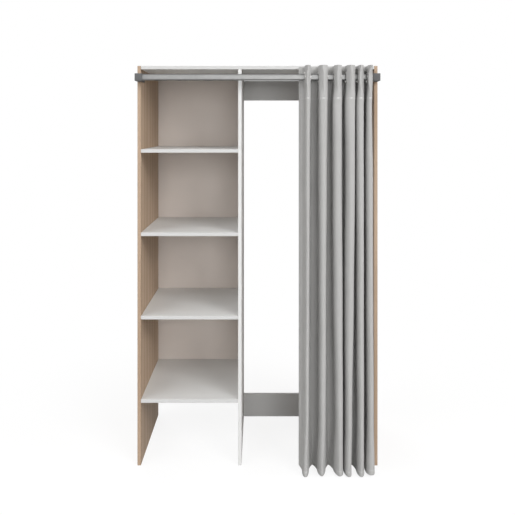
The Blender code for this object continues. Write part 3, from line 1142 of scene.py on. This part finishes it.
def flap_columns_from(start, width, depth):
    """The loose end of the cloth beyond an end eyelet, from the crossing outwards."""
    run = np.linspace(0, 1, straight_columns, endpoint=False)[None, :]
    flap = flap_fullness + (hem_flap_fullness - flap_fullness) * hem_weight
    across, out = turned_share(np.linspace(0, math.pi / 2, flap_columns), flap, flap)
    x = np.concatenate([start + 0 * run, start + width * (1 - across)], axis=1)
    return x, np.concatenate([straight * run, straight + (depth - straight) * out], axis=1)


lead_edge_x = eyelet_centres[0].x - lead_flap_width
lead_x, lead_out = flap_columns_from(crossings[:, :1], lead_edge_x - crossings[:, :1], back_depth)
parts_x = [lead_x[:, :0:-1]]
parts_y = [rail_y + lead_out[:, :0:-1]]
first_columns = [parts_x[0].shape[1]]
for number in range(eyelet_count - 1):
    start, end = crossings[:, number:number + 1], crossings[:, number + 1:number + 2]
    forward = number % 2 == 0
    x, out = fold_columns(start, end, front_depth if forward else back_depth, number)
    parts_x.append(x)
    parts_y.append(rail_y - out if forward else rail_y + out)
    first_columns.append(first_columns[-1] + x.shape[1])
tail_x, tail_out = flap_columns_from(crossings[:, -1:], tail_flap_width, back_depth)
cloth_x = np.concatenate(parts_x + [tail_x], axis=1)
cloth_y = np.concatenate(parts_y + [rail_y + tail_out], axis=1)
middle_row = len(heights) // 2
steps_along = np.hypot(np.diff(cloth_x[middle_row]), np.diff(cloth_y[middle_row]))
along = np.concatenate([[0], np.cumsum(steps_along)])[None, :]

# Small shapes on the folds. A wrinkle is given by its length along the cloth, its height and its depth, a
# puckered line and a bulge on the front crests by their height, their reach up and down and their depth.
wrinkle_waves = ((0.034, 0.9, 0.00006), (0.021, 0.55, 0.00004), (0.075, 0.30, 0.00009))
wrinkle_sets = 3
wrinkle_seed = 7
wrinkle_bend = 0.8
wrinkle_bend_share = 1.7
pucker_length = 0.0105
pucker_drift = 1.3
pucker_drift_turns = 61
puckered_lines = ((header_line, 0.007, 0.00032), (hem_line, 0.006, 0.000224))
pull_length = 0.019
pull_depth = 0.0007
pull_reach = 0.038
pull_drift = 0.6
pull_drift_step = 3.1
pull_edge = 0.026
pull_fade = 0.020
pull_seam_fade = 0.060
top_pull_share = 0.5
top_pull_fade = 0.018
clear_radius = 0.0295
clear_fade = 0.012
top_droop = 0.001
hem_rises = (-0.0035, 0, 0, -0.0025, -0.0035, 0.004)
hem_rise_height = 0.12
hem_flares = (0.0008, 0.0016, 0.0018, 0.0005, 0.0010, 0.0003)
seam_pleats = (0.0008, 0.0016, 0.0018, 0.0012, 0.0014, 0.0018)
crest_bulges = ((cloth_foot + 0.010, 0.008, hem_flares), (header_line - 0.006, 0.007, seam_pleats))


def surface_normals(points):
    """Unit normals of a grid of points, from the way its rows and columns run."""
    normals = np.cross(np.gradient(points, axis=1), np.gradient(points, axis=0))
    return normals / np.linalg.norm(normals, axis=2, keepdims=True)


def wrinkles():
    """How far the cloth stands out of its folds: soft waves, puckers at the seams, pulls at the eyelets."""
    generator = np.random.default_rng(wrinkle_seed)
    height = np.zeros_like(cloth_x)
    for length, tall, depth in wrinkle_waves:
        for _ in range(wrinkle_sets):
            phase, drift = generator.uniform(0, 2 * math.pi, 2)
            bend = wrinkle_bend * np.sin(2 * math.pi * heights / (wrinkle_bend_share * tall) + drift)
            lengthwise = np.sin(2 * math.pi * heights / tall + drift)
            wave = np.sin(2 * math.pi * along / length + phase + bend)
            height += depth * wave * (0.5 + 0.5 * lengthwise)
    drift = pucker_drift * np.sin(along * pucker_drift_turns)
    pucker = np.sin(2 * math.pi * along / pucker_length + drift)
    for line, reach, depth in puckered_lines:
        height += depth * bell(heights - line, reach) * pucker
    pull_zone = (1 - climb(eyelet_z - pull_edge - pull_fade, pull_fade)) * climb(header_line, pull_seam_fade)
    pull_zone = pull_zone + top_pull_share * climb(eyelet_z + pull_edge, top_pull_fade)
    clear = np.ones_like(height)
    for number, column in enumerate(first_columns):
        off = along - along[0, column]
        drift = pull_drift * math.sin(pull_drift_step * number)
        pull = np.cos(2 * math.pi * off / pull_length + drift)
        height += pull_depth * pull * bell(off, pull_reach) * pull_zone
        clear *= ease((np.hypot(off, heights - eyelet_z) - clear_radius) / clear_fade)
    return height * clear


behind_front = ease((cloth_y - (rail_y - front_depth)) / (front_depth + 0.5 * back_depth))
cloth_z = heights - top_droop * climb(eyelet_z, cloth_top - eyelet_z) * behind_front
near_hem = 1 - climb(cloth_foot, hem_rise_height)
for number in range(len(hem_rises)):
    first, last = first_columns[2 * number], first_columns[2 * number + 1]
    crest = np.zeros_like(cloth_x)
    crest[:, first:last] = (1 - behind_front[:, first:last]) ** 2
    cloth_z = cloth_z + hem_rises[number] * near_hem * crest
    for line, reach, depths in crest_bulges:
        cloth_y = cloth_y - depths[number] * bell(heights - line, reach) * crest ** 2
grid = np.stack([cloth_x, cloth_y, cloth_z], axis=2)
grid = grid + wrinkles()[:, :, None] * surface_normals(grid)
normals = surface_normals(grid)

stitch_inset = 0.003
stitched_levels = (header_line + stitch_inset, hem_line - stitch_inset)
stitched_edge = side_hem_width - stitch_inset
stitch_sink = 0.00045
stitch_width = 0.0016
fold_in = 0.001
fold_in_fade = 0.0015
side_fold_fade = 0.002
notch_radius = 0.0262
cloth_sharp_angle = 55


def cloth_half_thickness():
    """Half the thickness: doubled in the header and all hems, and drawn in along the stitches."""
    from_edge = np.minimum(along, along[0, -1] - along)
    header = climb(header_line - fold_in, fold_in_fade)
    hem = 1 - climb(hem_line + fold_in - fold_in_fade, fold_in_fade)
    doubled = np.maximum(np.maximum(header, hem), ease((side_hem_width - from_edge) / side_fold_fade))
    thickness = cloth_thickness + (doubled_thickness - cloth_thickness) * doubled
    for off_stitch in (*(heights - level for level in stitched_levels), from_edge - stitched_edge):
        thickness = thickness - stitch_sink * bell(off_stitch, stitch_width)
    return thickness / 2


half_thickness = cloth_half_thickness()[:, :, None]


def cut_notches(points, run_along, start_hole, end_hole):
    """Draws a piece's edge rows back round the eyelet at either end."""
    notch = np.sqrt(np.clip(notch_radius ** 2 - (heights[:, 0] - eyelet_z) ** 2, 0, None))
    ends = ((start_hole, range(straight_columns)), (end_hole, range(-1, -straight_columns - 1, -1)))
    for has_hole, columns in ends:
        for column in columns if has_hole else ():
            out = points[:, column, 1] - rail_y
            shift = notch * np.clip(1 - np.abs(out) / straight[:, 0], 0, 1)
            points[:, column, 1] += np.sign(points[:, columns[-1], 1] - rail_y) * shift
            run_along[:, column] += (1 if columns[0] == 0 else -1) * shift


def cloth_piece(name, first, last, start_hole, end_hole):
    """A closed piece of the cloth between two columns, with its UV in metres along and up the cloth."""
    points = grid[:, first:last + 1].copy()
    run_along = (along + 0 * heights)[:, first:last + 1].copy()
    cut_notches(points, run_along, start_hole, end_hole)
    offset = half_thickness[:, first:last + 1] * normals[:, first:last + 1]
    rows, columns = points.shape[:2]
    both = np.concatenate([(points + offset).reshape(-1, 3), (points - offset).reshape(-1, 3)])
    index = np.arange(rows * columns).reshape(rows, columns)
    outer = np.stack([index[:-1, :-1], index[:-1, 1:], index[1:, 1:], index[1:, :-1]], axis=-1).reshape(-1, 4)
    inner = outer[:, ::-1] + rows * columns
    border = np.concatenate([index[0, :-1], index[:-1, -1], index[-1, :0:-1], index[:0:-1, 0]])
    following = np.roll(border, -1)
    rim = np.stack([following, border, border + rows * columns, following + rows * columns], axis=-1)
    mesh = bpy.data.meshes.new(name)
    mesh.from_pydata(both.tolist(), [], np.concatenate([outer, inner, rim]).tolist())
    threads = mesh.uv_layers.new(name="threads")
    flat = np.stack([run_along.ravel(), (heights + 0 * run_along).ravel()], axis=1)
    flat = np.concatenate([flat, flat])
    corners = np.empty(len(mesh.loops), int)
    mesh.loops.foreach_get("vertex_index", corners)
    threads.data.foreach_set("uv", flat[corners].ravel().astype(np.float32))
    piece = bpy.data.objects.new(name, mesh)
    bpy.context.scene.collection.objects.link(piece)
    smooth(piece, cloth_sharp_angle)
    return piece


cloth_colour = (0.492, 0.488, 0.480, 1)
cloth_dark_colour = (0.433, 0.429, 0.420, 1)
# The thread colour also draws the painted highlights on the front crests.
thread_and_highlight_colour = (0.78, 0.775, 0.76, 1)
cloth_roughness = (0.80, 0.92)
cloth_sheen = {"Specular IOR Level": 0.25, "Sheen Weight": 0.12, "Sheen Roughness": 0.45}
thread_pitch = 0.0007
thread_change = 0.12
slub_up_noise = (1, 3, 0.6, (1100, 34, 1))
slub_across_noise = (1, 3, 0.6, (34, 1100, 1))
broad_noise = (7, 3, 0.55)
dust_share = 0.20
dust_height = 0.12
shade_spread = (0.25, 0.9)
shade_shares = {"slubs": 0.9, "broad": 0.5, "weave": 0.25}
height_shares = {"weave": 0.7, "slubs": 0.5, "stitches": 1.5}
stitch_length = 0.0034
stitch_dash_spread = (0.34, 0.42)
stitch_line_spread = (0.0003, 0.0006)
# The pale patches on the front crests at the header seam are painted highlights, drawn as thread tacks.
crest_highlight_size = (0.0065, 0.0030)
crest_highlight_fade = 0.0005
crest_highlight_paleness = 0.5


def stitch_row(tree, off_row, along_row):
    """A row of stitches: a mask from the distance off the row and the place along it."""
    step = calculate(tree, "FRACT", calculate(tree, "DIVIDE", along_row, stitch_length))
    dash = map_range(tree, distance_from(tree, step, 0.5), *stitch_dash_spread, 1, 0)
    return times(tree, map_range(tree, off_row, *stitch_line_spread, 1, 0), dash)


def painted_crest_highlight(tree, across, crest):
    """A pale thread tack on one front fold's crest at the header seam: a painted highlight."""
    off_crest = distance_from(tree, across[0], crest)
    off_seam = distance_from(tree, across[1], stitched_levels[0])
    wide = map_range(tree, off_crest, crest_highlight_size[0] / 2, crest_highlight_size[0], crest_highlight_paleness, 0)
    return times(tree, wide, map_range(tree, off_seam, crest_highlight_size[1] - crest_highlight_fade, crest_highlight_size[1], 1, 0))


def woven_cotton():
    """Plain weave from the cloth's own UV in metres, with slubs, dust at the foot, rows of stitches and
    painted highlights on the front crests.
    """
    material, tree, _ = new_material("woven_cotton")
    threads = add_node(tree, "UVMap", uv_map="threads").outputs[0]
    across = parts_of(tree, threads)
    warp, weft = [ripple(tree, across[way], 2 * thread_pitch) for way in (0, 1)]
    over = map_range(tree, times(tree, warp, weft), -thread_change, thread_change)
    raised = [calculate(tree, "ABSOLUTE", thread) for thread in (weft, warp)]
    weave = add_node(tree, "Mix", {0: over, 2: raised[0], 3: raised[1]}).outputs[0]
    slub_across, slub_up = noise(tree, threads, *slub_across_noise), noise(tree, threads, *slub_up_noise)
    slubs = add_node(tree, "Mix", {0: over, 2: slub_across, 3: slub_up}).outputs[0]
    broad = times(tree, noise(tree, threads, *broad_noise), shade_shares["broad"])
    dust = map_range(tree, across[1], cloth_foot, cloth_foot + dust_height, dust_share, 0.0)
    shade = calculate(tree, "MULTIPLY_ADD", slubs, shade_shares["slubs"], broad)
    shade = calculate(tree, "MULTIPLY_ADD", weave, -shade_shares["weave"], shade)
    shade = calculate(tree, "ADD", map_range(tree, shade, *shade_spread), dust, clamp=True)
    woven = mix_colour(tree, shade, cloth_colour, cloth_dark_colour)
    rows = [(1, level) for level in stitched_levels]
    rows += [(0, stitched_edge), (0, float(along[0, -1]) - stitched_edge)]
    sewn_and_highlighted = [stitch_row(tree, distance_from(tree, across[way], line), across[1 - way]) for way, line in rows]
    for number in range(0, eyelet_count - 1, 2):
        crest = float(along[0, first_columns[number]] + along[0, first_columns[number + 1]]) / 2
        sewn_and_highlighted.append(painted_crest_highlight(tree, across, crest))
    # The stitches mask takes in the painted crest highlights too.
    stitches = 0.0
    for stitching in sewn_and_highlighted:
        stitches = calculate(tree, "MAXIMUM", stitches, stitching)
    height = 0.0
    for name, pattern in (("weave", weave), ("slubs", slubs), ("stitches", stitches)):
        height = calculate(tree, "MULTIPLY_ADD", pattern, height_shares[name], height)
    shown = mix_colour(tree, stitches, woven, thread_and_highlight_colour)
    matt = map_range(tree, slubs, *noise_spread, *cloth_roughness)
    give_surface(tree, shown, matt, height, bump_height / 3, cloth_sheen)
    return material


# The cloth is cut into thirteen pieces that meet at the eyelets. The pieces between two eyelets keep their
# places baked into their meshes, and the loose ends ride on the outer two.
cotton = woven_cotton()
cuts = [0] + first_columns + [cloth_x.shape[1] - 1]
for number in range(eyelet_count + 1):
    first, last = cuts[number], cuts[number + 1]
    name = f"curtain_cloth_{number + 1:02d}"
    piece = cloth_piece(name, first, last, number > 0, number < eyelet_count)
    piece.data.materials.append(cotton)
    if number == 0 or number == eyelet_count:
        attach(piece, body_name(max(number, 1)))
    else:
        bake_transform(piece)
    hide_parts(f"curtain_fold_{min(number + 1, eyelet_count):02d}")
